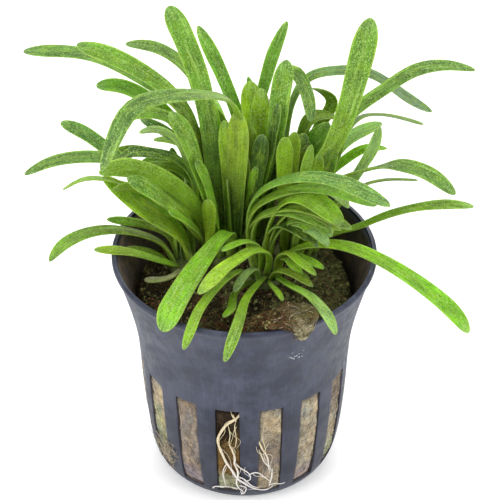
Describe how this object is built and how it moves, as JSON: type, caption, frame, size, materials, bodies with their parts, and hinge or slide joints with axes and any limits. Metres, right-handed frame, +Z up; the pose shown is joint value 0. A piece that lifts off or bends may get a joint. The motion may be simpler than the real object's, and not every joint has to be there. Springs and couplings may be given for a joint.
{
  "type": "potted dwarf sagittaria",
  "caption": "Potted dwarf sagittaria, a water plant with strap-shaped leaves in a slotted plastic net pot, which stands on a flat surface or sits in an aquarium bed.",
  "frame": {"origin": "centre of the flat underside of the net pot", "axes": "+Z up along the pot's axis, -Y towards the front, where the roots show in two slots and a lump of fibre lies over the rim, +X to the right"},
  "size_m": [0.0908, 0.0734, 0.0993],
  "materials": {
    "pot_plastic": "satin moulded polypropylene, slate grey-blue",
    "rockwool": "matted mineral fibre, tan in the slots and dark and mossy on top",
    "crown": "soft pale green stem",
    "leaf": "waxy green leaf with fine pale flecks",
    "root": "smooth ivory root"
  },
  "bodies": {
    "root": {"net_pot": "pot_plastic", "rockwool_plug": "rockwool", "crown_main": "crown", "crown_left": "crown", "crown_rear_left": "crown", "crown_back": "crown", "crown_right": "crown", "crown_front": "crown", "main_leaf_1": "leaf", "main_leaf_2": "leaf", "main_leaf_3": "leaf", "main_leaf_4": "leaf", "main_leaf_5": "leaf", "main_leaf_6": "leaf", "main_leaf_7": "leaf", "main_leaf_8": "leaf", "rear_left_leaf_1": "leaf", "rear_left_leaf_2": "leaf", "rear_left_leaf_3": "leaf", "rear_left_leaf_4": "leaf", "left_leaf_1": "leaf", "left_leaf_2": "leaf", "left_leaf_3": "leaf", "left_leaf_4": "leaf", "left_leaf_5": "leaf", "left_leaf_6": "leaf", "left_leaf_7": "leaf", "left_leaf_8": "leaf", "back_leaf_1": "leaf", "back_leaf_2": "leaf", "back_leaf_3": "leaf", "back_leaf_4": "leaf", "back_leaf_5": "leaf", "back_leaf_6": "leaf", "back_leaf_7": "leaf", "back_leaf_8": "leaf", "right_leaf_1": "leaf", "right_leaf_2": "leaf", "right_leaf_3": "leaf", "right_leaf_4": "leaf", "right_leaf_5": "leaf", "right_leaf_6": "leaf", "right_leaf_7": "leaf", "right_leaf_8": "leaf", "right_leaf_9": "leaf", "right_leaf_10": "leaf", "right_leaf_11": "leaf", "right_leaf_12": "leaf", "right_leaf_13": "leaf", "front_leaf_1": "leaf", "front_leaf_2": "leaf", "front_leaf_3": "leaf", "front_leaf_4": "leaf", "front_leaf_5": "leaf", "front_leaf_6": "leaf", "front_leaf_7": "leaf", "front_leaf_8": "leaf", "front_leaf_9": "leaf", "root_left_slot": "root", "root_right_slot": "root"}
  },
  "joints": []
}
